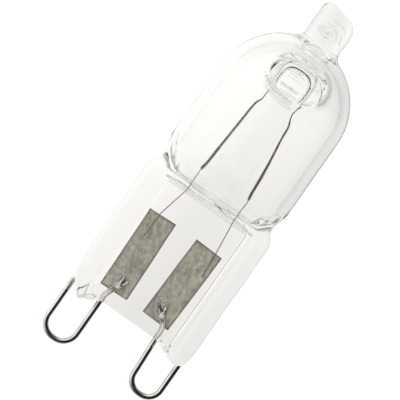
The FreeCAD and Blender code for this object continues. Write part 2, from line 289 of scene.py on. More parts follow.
def outside_of_quartz(s):
    """Field of the whole capsule as if it were solid glass."""
    h = heights(s)

    def field(x, y, z):
        drop = np.clip((h.tube_start - z) / s.shoulder_radius, 0, 1)
        turn = np.arcsin(drop)
        depth = s.bulb_radius - s.shoulder_radius * (1 - np.cos(turn))
        waist = s.neck_depth * np.exp(-(((z - s.pinch_height - WAIST_HEIGHT) / WAIST_REACH) ** 2))
        width = join_soft(s.bulb_radius - waist, crease(s, x, z) + CREASE_OUTWARDS, CREASE_MELT)
        squareness = 2 + 2.5 * (turn / h.shoulder_turn) ** 3
        body = oval_gap(x, y, width, depth, squareness)
        dome = np.sqrt(x * x + y * y + (z - h.dome_centre) ** 2) - s.bulb_radius
        bulb = np.where(z > h.dome_centre, dome, body)
        bulb = np.maximum(bulb, s.pinch_height - 0.25 - z)
        bulb = bulb - s.unevenness * 0.4 * ripple(0.6 * x, 0.6 * y, 0.6 * z)
        top = h.dome_top + s.tip_height - (x + s.tip_radius) * math.tan(s.tip_slant)
        stub = np.hypot(x * (1 + 0.02 * np.sin(2.6 * z)), y) - s.tip_radius
        stub = meet_round(stub, z - top, TIP_EDGE)
        stub = np.maximum(stub, h.dome_top - TIP_ROOT - z)
        # The tip's root is crisp in front and behind, and the dimples' lips are rounder on their right
        facing = np.abs(y) / (np.hypot(x, y) + 0.01)
        bulb = join_soft(bulb, stub, 0.15 + 0.6 * (1 - facing))
        bulb = cut_soft(bulb, pressed_dimple(s, h, x, y, z), LIP_MELT + 0.8 * np.clip(x / 2, 0, 1))
        half_depth = s.pinch_thickness / 2 - THINNING * np.clip((z - s.pinch_height) / THINNING_HEIGHT, 0, 1)
        # The pinch has crisp rims at its feet and melted ones above, on the left from a little higher on
        above_feet = np.clip((z + 0.6) / 2, 0, 1)
        rim = 0.15 + 0.6 * np.where(x < 0, np.clip((z - 0.9) / 2, 0, 1), above_feet)
        block = meet_round(outline_gap(x, z, PINCH_OUTLINE), np.abs(y) - half_depth, rim)
        draft = np.abs(y) - s.web_thickness / 2
        web = (np.abs(x - WEB_MIDDLE) - WEB_HALF_WIDTH - WEB_FLANK * draft) / math.hypot(1, WEB_FLANK)
        web = meet_round(web, z - s.pinch_height + WEB_BAR, WEB_CORNER)
        # The recess gets shallower towards the web's lower edge
        run_out = 0.8 * np.clip((0.9 - z) / 1.6, 0, 1) ** 2
        recess = meet_round(web, run_out - draft, WEB_EDGE)
        pinch = cut_soft(block, recess, 0.4 + 0.7 * (1 - above_feet) * np.clip(3.6 - np.abs(x), 0, 1))
        pinch = pinch - s.unevenness * ripple(x, y, z)
        # Bulb and pinch run together more softly at the corners of the pinch
        whole = join_soft(bulb, pinch, 0.4 + 0.8 * np.clip(np.abs(x) - 3.8, 0, 1))
        for start, end, width, height in FOLDS:
            whole = whole - np.where(y < 0, 1, 0.4) * fold(x, z, start, end, width, height)
        return whole

    return field


def inside_of_quartz(s):
    """Field of the gas space, one wall in from the outside, with the pillar left standing in it."""
    h = heights(s)
    radius = s.bulb_radius - s.bulb_wall

    def field(x, y, z):
        sine = np.clip((h.tube_start - z) / (h.tube_start - s.pinch_height), 0, 1)
        cosine = np.sqrt(1 - sine ** 2)
        half_width, half_depth = s.floor_width / 2, s.floor_depth / 2
        width = half_width + (radius - half_width) * cosine
        width = join_soft(width, crease(s, x, z) - CREASE_INWARDS, CREASE_MELT)
        depth = half_depth + (radius - half_depth) * cosine
        body = oval_gap(x, y, width, depth, 2 + 2.5 * sine ** 6)
        body = meet_round(body, s.pinch_height + 0.45 - z, 0.3)
        floor = s.pinch_height - 0.2 + 0.3 * (x / half_width) ** 2 + 0.04 * np.sin(2.9 * x)
        slot = meet_round(np.abs(x) - half_width, np.abs(y) - half_depth, SLOT_CORNER)
        slot = meet_round(slot, np.abs(z - floor - SLOT_HALF_HEIGHT) - SLOT_HALF_HEIGHT, SLOT_BOTTOM)
        dome = np.sqrt(x * x + y * y + (z - h.dome_centre) ** 2) - radius
        space = np.where(z > h.dome_centre, dome, body)
        space = join_soft(space, slot, 0.25)
        space = space - s.unevenness * 0.4 * ripple(0.6 * x + 1, 0.6 * y, 0.6 * z)
        return cut_soft(space, glass_pillar(s, h, x, y, z), 0.15)

    return field


def onto_surface(points, field, reach):
    """Moves points along the field's slope until they lie on its zero surface."""
    probe = 0.01
    for _ in range(3):
        x, y, z = points.T
        value = field(x, y, z)
        slope = np.stack([field(x + probe, y, z) - field(x - probe, y, z),
                          field(x, y + probe, z) - field(x, y - probe, z),
                          field(x, y, z + probe) - field(x, y, z - probe)], 1) / (2 * probe)
        steep = np.maximum((slope ** 2).sum(1), 0.05)
        points = points - slope * np.clip(value / steep, -reach, reach)[:, None]
    return points


def closed_surface(field, low, high, step):
    """Even quads over the zero surface of a field, with their corners pulled exactly onto it."""
    axes = [np.arange(a - 3 * step, b + 4 * step, step) for a, b in zip(low, high)]
    x, y, z = np.meshgrid(*axes, indexing="ij", sparse=True)
    inside = field(x, y, z) < 0
    corners = [inside[i:i - 1 or None, j:j - 1 or None, k:k - 1 or None].astype(np.int8)
               for i in (0, 1) for j in (0, 1) for k in (0, 1)]
    count = sum(corners)
    crossing = (count > 0) & (count < 8)
    number = np.full(crossing.shape, -1)
    number[crossing] = np.arange(crossing.sum())
    start = np.array([axis[0] for axis in axes])
    points = start + (np.argwhere(crossing) + 0.5) * step
    faces = []
    for axis in range(3):
        across, over = np.eye(3, dtype=int)[[(axis + 1) % 3, (axis + 2) % 3]]
        first = np.take(inside, range(inside.shape[axis] - 1), axis)
        second = np.take(inside, range(1, inside.shape[axis]), axis)
        spots = np.argwhere(first != second)
        quad = [number[tuple((spots - shift).T)] for shift in (across + over, over, 0, across)]
        quad = np.stack(quad, 1)
        flipped = second[tuple(spots.T)]
        quad[flipped] = quad[flipped][:, ::-1]
        faces.append(quad)
    faces = np.concatenate(faces)
    for _ in range(4):
        points = even_out(points, faces)
        points = onto_surface(points, field, step)
    return points, faces


def even_out(points, faces):
    """Each point moves halfway to the middle of the faces around it."""
    middles = points[faces].mean(1)
    around = np.bincount(faces.ravel(), minlength=len(points))
    summed = [np.bincount(faces.ravel(), np.repeat(middles[:, axis], 4), len(points)) for axis in range(3)]
    return 0.5 * points + 0.5 * np.stack(summed, 1) / around[:, None]


def tube_faces(rings, sides):
    """Quads between rings of points that follow each other, and a lid on each end."""
    faces = []
    for ring in range(rings - 1):
        for side in range(sides):
            here, following = ring * sides + side, ring * sides + (side + 1) % sides
            faces.append((here, following, following + sides, here + sides))
    last = (rings - 1) * sides
    return faces + [tuple(range(sides))[::-1], tuple(range(last, last + sides))]


def round_bubble(centre, half_sizes, lean, bow, rings=12, sides=16):
    """A small closed hollow in the glass, turned by lean in the plane of the pinch and bowed down."""
    points = []
    for ring in range(rings + 1):
        polar = math.pi * min(max(ring, 0.02), rings - 0.02) / rings
        along = -math.cos(polar)
        swell = 1 + 0.25 * math.sin(7 * along + 9 * centre[0] + centre[2]) * math.sin(polar)
        for side in range(sides):
            turn = 2 * math.pi * side / sides
            points.append((half_sizes[0] * along, half_sizes[1] * swell * math.sin(polar) * math.cos(turn),
                           half_sizes[2] * swell * math.sin(polar) * math.sin(turn) - bow * along ** 2))
    turned = np.array(points) @ np.array(Matrix.Rotation(lean, 3, "Y")).T
    return turned + np.array(centre), tube_faces(rings + 1, sides)


# Bubbles and air lines in the glass: centre, half sizes, lean and bow
BUBBLES = [
    ((3.9, -0.2, 13.55), (0.16, 0.12, 0.12), 0.2, 0), ((1.66, -0.5, 3.53), (0.34, 0.26, 0.22), -0.3, 0),
    ((-0.2, -0.1, 13.7), (4.2, 0.11, 0.09), 0, -0.25), ((-3.6, -0.3, 13.4), (0.9, 0.14, 0.11), 0.04, 0),
    ((-0.1, 0, 28.1), (0.9, 0.1, 0.08), 0.02, 0.16), ((-0.4, 0, 27.82), (0.55, 0.05, 0.05), 0, 0),
    ((-0.1, 0, 27.5), (1.0, 0.04, 0.04), 0, 0), ((-0.1, -0.2, 26.62), (1.1, 0.16, 0.1), 0, 0),
    ((-0.1, 0.1, 26.46), (1.0, 0.15, 0.09), 0.02, 0), ((-0.65, -0.3, 26.5), (0.35, 0.1, 0.06), 0.2, 0),
    ((0.0, -0.35, 26.56), (0.3, 0.1, 0.06), -0.2, 0), ((0.6, -0.3, 26.5), (0.35, 0.1, 0.06), 0.15, 0),
    ((0.15, 0, 26.02), (0.95, 0.1, 0.15), 0, 0), ((-0.28, -1.2, 32.5), (0.5, 0.2, 0.26), 0.05, 0),
    ((-0.1, -1.0, 33.5), (0.8, 0.14, 0.11), 0.25, 0.1), ((-0.6, -0.9, 33.1), (0.45, 0.12, 0.1), -0.5, 0),
    ((0.2, -1.0, 34.0), (0.6, 0.12, 0.09), 0.1, -0.1), ((0.7, -1.1, 32.95), (0.45, 0.14, 0.12), 1.0, 0.1),
    ((1.1, -0.9, 32.85), (0.5, 0.14, 0.11), 1.2, -0.12), ((0.45, -0.6, 33.2), (0.5, 0.12, 0.1), 0.7, 0.1),
    ((-0.9, -0.8, 32.7), (0.3, 0.1, 0.1), 1.1, 0), ((0.9, -0.8, 33.8), (0.45, 0.1, 0.09), 0.6, 0.06),
    ((-0.2, -0.4, 32.9), (0.6, 0.14, 0.1), -0.1, 0.1)]


# Metal parts swept along a path in the plane of the pinch


def swept(stations, sides=28):
    """Closed tube through stations of x, depth, z, half width in the pinch's plane, half thickness."""
    spots = np.array([[s[0], s[2]] for s in stations], float)
    tangent = np.gradient(spots, axis=0)
    tangent /= np.linalg.norm(tangent, axis=1)[:, None]
    points = []
    for (x, depth, z, half_width, half_depth), (tx, tz) in zip(stations, tangent):
        for side in range(sides):
            turn = 2 * math.pi * side / sides
            across = half_width * math.cos(turn)
            points.append((x + tz * across, depth + half_depth * math.sin(turn), z - tx * across))
    return points, tube_faces(len(stations), sides)


def bent_path(corners, radii, spacing):
    """Points along straight runs with a round bend at each inner corner."""
    path = [Vector(corners[0])]
    for index in range(1, len(corners) - 1):
        corner = Vector(corners[index])
        back = (Vector(corners[index - 1]) - corner).normalized()
        ahead = (Vector(corners[index + 1]) - corner).normalized()
        half = back.angle(ahead) / 2
        setback = radii[index] / math.tan(half)
        centre = corner + (back + ahead).normalized() * radii[index] / math.sin(half)
        start = corner + back * setback - centre
        sweep = math.pi - 2 * half
        sign = 1 if back.x * ahead.y - back.y * ahead.x < 0 else -1
        steps = max(3, int(sweep * radii[index] / spacing))
        for step in range(steps + 1):
            path.append(centre + Matrix.Rotation(sign * sweep * step / steps, 2) @ start)
    path.append(Vector(corners[-1]))
    filled = []
    for here, there in zip(path, path[1:]):
        steps = max(1, round((there - here).length / spacing))
        filled += [here.lerp(there, step / steps) for step in range(steps)]
    return filled + [path[-1]]


# Each loop as bent by hand: its reach below the web, the lean of its inner leg, where that leg bends and is
# welded, where the outer leg ends, and where the prongs of the split end start, bend and end
LOOPS = {
    "left": SimpleNamespace(
        side=-1, reach=5.71, lean=0.0, bend=0.6, weld=(-2.45, 2.5), end=0.36,
        prongs=[((-2.66, 2.0), (-2.6, 2.6), (-2.58, 3.12)), ((-2.5, 2.1), (-2.2, 2.6), (-1.98, 2.92))]),
    "right": SimpleNamespace(
        side=1, reach=5.38, lean=0.32, bend=1.25, weld=(2.12, 2.55), end=-0.64,
        prongs=[((2.42, 1.9), (1.95, 2.5), (1.5, 2.98)), ((2.6, 2.1), (2.35, 2.65), (2.22, 3.1))])}


def prong_stations(start, middle, end):
    """A flat prong of a contact wire's split end, bent towards the middle one of three points."""
    stations = []
    for index in range(11):
        share = index / 10
        x, z = [(1 - share) ** 2 * a + 2 * share * (1 - share) * b + share ** 2 * c
                for a, b, c in zip(start, middle, end)]
        cap = min(1, 0.6 + share * 2, 0.5 + (1 - share) * 4)
        stations.append((x, -0.13 - 0.05 * share, z, 0.17 * cap, 0.1 * cap))
    return stations


def contact_stations(s, loop):
    """One contact loop, from its end in the foot round the loop and up to the flattened weld."""
    middle = loop.side * s.loop_pitch / 2
    outer, inner = middle + loop.side * s.loop_width / 2, middle - loop.side * s.loop_width / 2
    wire = s.contact_wire / 2
    low = wire - loop.reach
    foot = inner + loop.side * loop.lean
    loop_bend = abs(outer - foot) * 0.47
    corners = [(outer, loop.end), (outer, low), (foot, low), (inner, loop.bend), loop.weld]
    path = bent_path(corners, [0, loop_bend, loop_bend, 1.2, 0], 0.12)
    travelled, stations = 0, []
    total = sum((b - a).length for a, b in zip(path, path[1:]))
    for index, spot in enumerate(path):
        if index:
            travelled += (spot - path[index - 1]).length
        left = total - travelled
        # The wire flattens towards its weld, and lies closer to the foil there
        flat = min(1, max(0, (s.paddle_length - left) / (0.75 * s.paddle_length)))
        flat = flat * flat * (3 - 2 * flat)
        cap = min(1, 0.55 + travelled / 0.12, 0.7 + left / 0.3)
        across = (wire + (s.paddle_width / 2 - wire) * flat) * cap
        through = (wire + (0.09 - wire) * flat) * cap
        depth = -0.28 + 0.17 * flat
        stations.append((spot.x, depth, spot.y, across, through))
    return stations


class QuartzSizes(bpy.types.PropertyGroup):
    bulb_radius: length("Bulb radius", "Outside radius of the blown bulb", 6.7)
    bulb_wall: length("Bulb wall", "Thickness of the bulb's glass", 0.95)
    tube_length: length("Tube length", "Straight part between shoulder and dome", 5.95)
    shoulder_radius: length("Shoulder radius", "Curve from the bulb in to the pinch", 5.0)
    neck_depth: length("Neck depth", "How far the neck draws in on each side", 0.62)
    floor_width: length("Floor width", "Width of the gas space where it ends in the pinch", 9.2)
    floor_depth: length("Floor depth", "Depth of the gas space where it ends in the pinch", 0.9)
    tip_radius: length("Tip radius", "Radius of the melted-off exhaust tip", 2.0)
    tip_height: length("Tip height", "Height of the exhaust tip above the dome", 4.1)
    dimple_rise: length("Dimple rise", "Height of the dimples above the dome's centre", 2.2)
    dimple_neck_width: length("Dimple neck width", "Width at the bottom of a dimple", 3.35)
    dimple_neck_height: length("Dimple neck height", "Height at the bottom of a dimple", 3.4)
    dimple_width: length("Dimple width", "Width of a dimple's mouth", 6.4)
    dimple_height: length("Dimple height", "Height of a dimple's mouth", 3.1)
    mouth_wall: length("Mouth wall", "Glass around a dimple's mouth", 0.3)
    septum: length("Septum", "Glass left between the two dimples", 1.2)
    coil_gap: length("Coil gap", "Gas between the bottoms of the dimples, round the pillar", 0.44)
    pillar_width: length("Pillar width", "Width of the glass pillar at its waist", 2.65)
    pillar_height: length("Pillar height", "Height of the glass pillar at its waist", 2.9)
    pinch_height: length("Pinch height", "Height of the pinch above the web's lower edge", 14.0)
    pinch_thickness: length("Pinch thickness", "Thickness over the ribs", 4.2)
    web_thickness: length("Web thickness", "Thickness of the web between the ribs", 2.4)
    unevenness: length("Unevenness", "Height of the slow ripples in the pinch", 0.045)
    mesh_step: length("Mesh step", "Size of the quads on the glass", 0.18)
    tip_slant: FloatProperty(name="Tip slant", description="Slope of the tip's end",
                             default=math.radians(12), subtype="ANGLE")
    tint: colour("Quartz tint", "Colour of light through the glass", "#FAFAFA")


class MetalSizes(bpy.types.PropertyGroup):
    loop_pitch: length("Loop pitch", "Distance between the middles of the contact loops", 9.52)
    loop_width: length("Loop width", "Distance between a loop's legs", 3.25)
    contact_wire: length("Contact wire", "Diameter of the contact loops' wire", 0.55)
    paddle_length: length("Paddle length", "Flattened end of the contact wire", 1.5)
    paddle_width: length("Paddle width", "Width of the flattened end", 0.72)
    coil_pitch: length("Coil pitch", "Distance from turn to turn of the filament", 0.085)
    coil_wire: length("Coil wire", "Diameter of the tungsten wire", 0.055)
    contact_colour: colour("Contact wire", "Bright drawn wire", "#DEDCD6")
    foil_colour: colour("Foil", "Etched molybdenum foil", "#989489")
    lead_colour: colour("Inner lead", "Drawn molybdenum wire", "#9C978E")
    coil_colour: colour("Filament", "Tungsten after a few hours of use", "#6A665F")


class StageSettings(bpy.types.PropertyGroup):
    camera_lens: FloatProperty(name="Lens", description="Focal length", default=200, unit="CAMERA")
    view_width: length("View width", "Width of what the camera sees at the lamp", 37.74)
    camera_lean: FloatProperty(name="Lean", description="How far the lamp leans in the picture",
                               default=math.radians(35.1), subtype="ANGLE")
    floor_colour: colour("Floor", "Matt white sheet", "#F4F4F2")
    key_power: FloatProperty(name="Key light", description="Power of the large soft lamp", default=0.55,
                             unit="POWER")
    fill_power: FloatProperty(name="Fill light", description="Power of the soft lamp on the right",
                              default=0.12, unit="POWER")


def quartz_material(tint):
    """Fused quartz, fire-polished: clear with faint draw waves, and with painted shade that makes it greyer
    where it is seen at a slant, for dark outlines at its edges.
    """
    material, add = new_material("Fused quartz, fire-polished")
    grain = add("ShaderNodeTexNoise", {"Scale": 0.9, "Detail": 2.0},
                {"Vector": along_lamp(add, (1, 1, 0.5))})
    draw = add("ShaderNodeBump", {"Strength": 0.12, "Distance": 0.05 * MM}, {"Height": grain})
    slant = add("ShaderNodeLayerWeight", {"Blend": 0.5}, {"Normal": draw})
    # Painted shade: the glass turns grey where it is seen at a slant, drawing dark outlines along its edges
    painted_edge_shade = add("ShaderNodeMapRange",
                  {"interpolation_type": "SMOOTHSTEP", "From Min": 0.76, "From Max": 1.0},
                  {"Value": slant.outputs["Facing"]})
    through = add("ShaderNodeMix", {"data_type": "RGBA", 6: rgba(tint), 7: (0.25, 0.24, 0.23, 1)},
                  {0: painted_edge_shade})
    glass = add("ShaderNodeBsdfPrincipled", {"Roughness": 0.0, "IOR": 1.458, "Transmission Weight": 1.0},
                {"Base Color": through.outputs[2], "Normal": draw})
    clear = add("ShaderNodeBsdfTransparent", {"Color": (0.96, 0.97, 0.97, 1)})
    path = add("ShaderNodeLightPath")
    mixed = add("ShaderNodeMixShader", links={0: path.outputs["Is Shadow Ray"], 1: glass, 2: clear})
    add("ShaderNodeOutputMaterial", links={"Surface": mixed})
    return material


def worn_metal(add, metallic, tone, marks, roughness, relief, height):
    """Ends a metal's nodes: its tone, with a roughness and a relief that follow its marks."""
    low, high = roughness
    rough = add("ShaderNodeMapRange", {"To Min": low, "To Max": high}, {"Value": marks})
    bump = add("ShaderNodeBump", {"Strength": relief, "Distance": height * MM}, {"Height": marks})
    metal = add("ShaderNodeBsdfPrincipled", {"Metallic": metallic},
                {"Base Color": tone.outputs[2], "Roughness": rough, "Normal": bump})
    add("ShaderNodeOutputMaterial", links={"Surface": metal})


def drawn_wire_material(name, base, dulled, roughness, welded=0.0):
    """Wire drawn through a die: fine lines along it, dulled in patches and scorched where it was welded."""
    material, add = new_material(name)
    place = along_lamp(add, (1, 1, 1))
    patches = add("ShaderNodeTexNoise", {"Scale": 1.4, "Detail": 3.0}, {"Vector": place})
    lines = add("ShaderNodeTexNoise", {"Scale": 1.0, "Detail": 4.0, "Roughness": 0.7},
                {"Vector": along_lamp(add, (14, 14, 1.2))})
    blend = add("ShaderNodeMapRange", {"From Min": 0.35, "From Max": 0.7}, {"Value": patches})
    tone = add("ShaderNodeMix", {"data_type": "RGBA", 6: rgba(base), 7: rgba(base, dulled)}, {0: blend})
    if welded:
        axes = add("ShaderNodeSeparateXYZ", links={0: place})
        heat = add("ShaderNodeMapRange", {"From Min": LAMP_BASE.z + 0.3, "From Max": LAMP_BASE.z + 2.6},
                   {"Value": axes.outputs[2]})
        scorched = add("ShaderNodeTexNoise", {"Scale": 1.0, "Detail": 2.0},
                       {"Vector": along_lamp(add, (4, 4, 1.6))})
        streaks = add("ShaderNodeMath", {"operation": "MULTIPLY"}, {0: heat, 1: scorched})
        strong = add("ShaderNodeMapRange", {"From Min": 0.42, "From Max": 0.54}, {"Value": streaks})
        tone = add("ShaderNodeMix", {"data_type": "RGBA", 7: rgba(base, welded)},
                   {0: strong, 6: tone.outputs[2]})
    worn_metal(add, 1.0, tone, lines, (roughness * 0.7, roughness * 1.5), 0.2, 0.01)
    return material


# Both foils, from the front: the middle between them, their centres' height and distance from it, how much
# they lean apart with height, and half their width and height
FOIL_MIDDLE, FOIL_CENTRE, FOIL_APART, FOIL_LEAN, FOIL_HALVES = -0.21, 5.6, 2.54, 0.033, (1.5, 4.25)


def rim_of_foil(add):
    """From 0 inside a foil to 1 at its rim, for both foils."""
    axes = add("ShaderNodeSeparateXYZ", links={0: along_lamp(add, (1, 1, 1))})
    off_middle = add("ShaderNodeMath", {"operation": "SUBTRACT", 1: LAMP_BASE.x + FOIL_MIDDLE}, {0: axes})
    apart = add("ShaderNodeMath", {"operation": "ABSOLUTE"}, {0: off_middle})
    rise = add("ShaderNodeMath", {"operation": "SUBTRACT", 1: LAMP_BASE.z + FOIL_CENTRE},
               {0: axes.outputs[2]})
    lean = add("ShaderNodeMath", {"operation": "MULTIPLY_ADD", 1: -FOIL_LEAN, 2: -FOIL_APART}, {0: rise})
    local = add("ShaderNodeMath", {"operation": "ADD"}, {0: apart, 1: lean})
    gaps = []
    for value, half in zip((local, rise), FOIL_HALVES):
        size = add("ShaderNodeMath", {"operation": "ABSOLUTE"}, {0: value})
        gaps.append(add("ShaderNodeMath", {"operation": "SUBTRACT", 1: half}, {0: size}))
    nearest = add("ShaderNodeMath", {"operation": "MAXIMUM"}, {0: gaps[0], 1: gaps[1]})
    return add("ShaderNodeMapRange", {"From Min": -0.22, "From Max": -0.02}, {"Value": nearest})


def foil_material(base):
    """Molybdenum foil, etched thin and wetted by the quartz: mottled, matt, with slanting rub marks."""
    material, add = new_material("Etched molybdenum foil")
    place = along_lamp(add, (1, 1, 1))
    mottle = add("ShaderNodeTexNoise", {"Scale": 2.2, "Detail": 5.0, "Roughness": 0.6}, {"Vector": place})
    slant = add("ShaderNodeMapping", {"Rotation": (0, math.radians(16), 0)}, {"Vector": place})
    stretched = add("ShaderNodeMapping", {"Scale": (3.2, 1.0, 0.6)}, {"Vector": slant})
    rubs = add("ShaderNodeTexNoise", {"Scale": 1.0, "Detail": 4.0, "Roughness": 0.65}, {"Vector": stretched})
    summed = add("ShaderNodeMath", {"operation": "ADD"}, {0: mottle, 1: rubs})
    ramp = add("ShaderNodeMapRange", {"From Min": 0.7, "From Max": 1.3}, {"Value": summed})
    middle = add("ShaderNodeMix", {"data_type": "RGBA", 6: rgba(base, 0.6), 7: rgba(base, 1.6)}, {0: ramp})
    tone = add("ShaderNodeMix", {"data_type": "RGBA", 7: rgba(base, 0.4)},
               {0: rim_of_foil(add), 6: middle.outputs[2]})
    worn_metal(add, 0.55, tone, rubs, (0.42, 0.62), 0.3, 0.02)
    return material


class LAMP_OT_quartz(bpy.types.Operator):
    """Blow the bulb, press the pinch and the dimples, and melt off the tip, as one piece of quartz"""
    bl_idname = "lamp.quartz"
    bl_label = "Quartz capsule"

    def execute(self, context):
        group = context.scene.lamp_quartz
        s = in_millimetres(group)
        s.tip_slant = group.tip_slant
        h = heights(s)
        outer = closed_surface(outside_of_quartz(s), (-7.2, -6.9, -1.3),
                               (7.2, 6.9, h.dome_top + s.tip_height + 0.2), s.mesh_step)
        gas = closed_surface(inside_of_quartz(s), (-5.9, -5.9, 13.4), (5.9, 5.9, 35), s.mesh_step)
        points, faces = [outer[0]], [tuple(map(int, face)) for face in outer[1]]
        hollows = [gas] + [round_bubble(*bubble) for bubble in BUBBLES]
        for found, quads in hollows:
            shift = sum(len(part) for part in points)
            points.append(found)
            faces += [tuple(int(i) + shift for i in face)[::-1] for face in quads]
        place_mesh("quartz_capsule", np.concatenate(points).tolist(), faces, quartz_material(group.tint),
                   ["quartz_envelope"])
        return {"FINISHED"}


class LAMP_OT_contacts(bpy.types.Operator):
    """Bend both contact loops from bright wire, flattened where they are welded to the foils"""
    bl_idname = "lamp.contacts"
    bl_label = "Contact loops"

    def execute(self, context):
        group = context.scene.lamp_metal
        s = in_millimetres(group)
        # Bright drawn wire gives long sharp highlights, and its scorched welds look black and white
        wire = drawn_wire_material("Bright drawn contact wire", group.contact_colour, 0.7, 0.14, 0.12)
        for name, loop in LOOPS.items():
            points, faces = swept(contact_stations(s, loop))
            for prong in loop.prongs:
                more, quads = swept(prong_stations(*prong), 16)
                faces += [tuple(corner + len(points) for corner in face) for face in quads]
                points += more
            place_mesh("contact_wire_" + name, points, faces, wire, ["contact_loop_" + name])
        return {"FINISHED"}


class LAMP_OT_foils(bpy.types.Operator):
    """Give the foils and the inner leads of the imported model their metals"""
    bl_idname = "lamp.foils"
    bl_label = "Foils and inner leads"

    def execute(self, context):
        group = context.scene.lamp_metal
        foil = foil_material(group.foil_colour)
        # Drawn molybdenum is greyer than the contact wire, with a softer shine
        lead = drawn_wire_material("Drawn molybdenum lead", group.lead_colour, 0.6, 0.3)
        for side in ("left", "right"):
            for name, material, slot in (("foil_", foil, "foil"), ("inner_lead_", lead, "lead_wire")):
                node = NODES[name + side]
                node.material_slots[0].link = "OBJECT"
                node.material_slots[0].material = material
        return {"FINISHED"}


# The coil's route: x, z and the radius of its turns, from the left foot over the pillar to the right
COIL_ROUTE = [
    (-2.5, 15.9, 0.135), (-2.34, 17.7, 0.135), (-2.19, 19.35, 0.13), (-2.17, 19.6, 0.105),
    (-2.05, 21.7, 0.1), (-1.95, 23.4, 0.095), (-1.83, 23.85, 0.08), (-1.62, 24.2, 0.045),
    (-1.6, 24.8, 0.035), (-1.56, 25.8, 0.015), (-1.55, 27.0, 0.012), (-1.5, 27.9, 0.035),
    (-0.88, 28.5, 0.1), (0.0, 28.64, 0.11), (0.88, 28.48, 0.1), (1.5, 27.9, 0.035), (1.55, 27.0, 0.012),
    (1.56, 25.8, 0.015), (1.58, 24.9, 0.035), (1.66, 24.35, 0.045), (1.86, 23.9, 0.08), (2.03, 23.4, 0.095),
    (2.06, 22.3, 0.098), (2.2, 21.2, 0.1), (2.36, 20.05, 0.105), (2.4, 19.8, 0.13), (2.62, 17.9, 0.135),
    (2.82, 16.05, 0.135)]


def coil_tree():
    """Nodes that wind a wire round a route: turns of the route's own radius, a fixed distance apart."""
    tree = bpy.data.node_groups.new("Wound coil", "GeometryNodeTree")
    sockets = [("Geometry", "INPUT", "Geometry"), ("Pitch", "INPUT", "Float"),
               ("Wire radius", "INPUT", "Float"), ("Metal", "INPUT", "Material"),
               ("Geometry", "OUTPUT", "Geometry")]
    for name, way, kind in sockets:
        tree.interface.new_socket(name, in_out=way, socket_type="NodeSocket" + kind)
    add = partial(add_node, tree)
    given = add("NodeGroupInput")
    step = add("ShaderNodeMath", {"operation": "DIVIDE", 1: 12.0}, {0: given.outputs["Pitch"]})
    fine = add("GeometryNodeResampleCurve", {"mode": "LENGTH"},
               {"Curve": given.outputs["Geometry"], "Length": step})
    spot = add("GeometryNodeSplineParameter")
    turns = add("ShaderNodeMath", {"operation": "DIVIDE"},
                {0: spot.outputs["Length"], 1: given.outputs["Pitch"]})
    angle = add("ShaderNodeMath", {"operation": "MULTIPLY", 1: 2 * math.pi}, {0: turns})
    normal = add("GeometryNodeInputNormal")
    tangent = add("GeometryNodeInputTangent")
    side = add("ShaderNodeVectorMath", {"operation": "CROSS_PRODUCT"}, {0: tangent, 1: normal})
    parts = []
    for wave, way in (("COSINE", normal), ("SINE", side)):
        share = add("ShaderNodeMath", {"operation": wave}, {0: angle})
        parts.append(add("ShaderNodeVectorMath", {"operation": "SCALE"}, {0: way, "Scale": share}))
    outward = add("ShaderNodeVectorMath", {"operation": "ADD"}, {0: parts[0], 1: parts[1]})
    radius = add("GeometryNodeInputRadius")
    offset = add("ShaderNodeVectorMath", {"operation": "SCALE"}, {0: outward, "Scale": radius})
    wound = add("GeometryNodeSetPosition", links={"Geometry": fine, "Offset": offset})
    plain = add("GeometryNodeSetCurveRadius", {"Radius": 1.0}, {"Curve": wound})
    section = add("GeometryNodeCurvePrimitiveCircle", {"Resolution": 6},
                  {"Radius": given.outputs["Wire radius"]})
    wire = add("GeometryNodeCurveToMesh", {"Fill Caps": True}, {"Curve": plain, "Profile Curve": section})
    real = add("GeometryNodeRealizeInstances", links={"Geometry": wire})
    painted = add("GeometryNodeSetMaterial", links={"Geometry": real, "Material": given.outputs["Metal"]})
    add("NodeGroupOutput", links={0: painted})
    return tree


def set_inputs(modifier, values):
    for item in modifier.node_group.interface.items_tree:
        if item.item_type == "SOCKET" and item.in_out == "INPUT" and item.name in values:
            modifier[item.identifier] = values[item.name]


class LAMP_OT_filament(bpy.types.Operator):
    """Wind the tungsten coil along its route, from one lead over the pillar to the other"""
    bl_idname = "lamp.filament"
    bl_label = "Filament"

    def execute(self, context):
        group = context.scene.lamp_metal
        s = in_millimetres(group)
        # Tungsten is dark once it has been white-hot, and its turns break up the shine
        metal = drawn_wire_material("Coiled tungsten", group.coil_colour, 0.6, 0.32)
        curve = bpy.data.curves.new("coil_route", "CURVE")
        curve.dimensions = "3D"
        spline = curve.splines.new("NURBS")
        spline.points.add(len(COIL_ROUTE) - 1)
        for point, (x, z, turn_radius) in zip(spline.points, COIL_ROUTE):
            point.co = (*(LAMP @ (Vector((x, -0.055, z)) * MM)), 1)
            point.radius = turn_radius * MM
        spline.order_u = 3
        spline.use_endpoint_u = True
        spline.resolution_u = 12
        route = bpy.data.objects.new("coil_route", curve)
        context.scene.collection.objects.link(route)
        winding = route.modifiers.new("Winding", "NODES")
        winding.node_group = coil_tree()
        set_inputs(winding, {"Pitch": s.coil_pitch * MM, "Wire radius": s.coil_wire * MM / 2, "Metal": metal})
        evaluated = route.evaluated_get(context.evaluated_depsgraph_get())
        mesh = bpy.data.meshes.new_from_object(evaluated)
        mesh.name = "tungsten_coil"
        bpy.data.objects.remove(route)
        mesh.shade_smooth()
        place_object("tungsten_coil", mesh, metal, ["filament"])
        return {"FINISHED"}


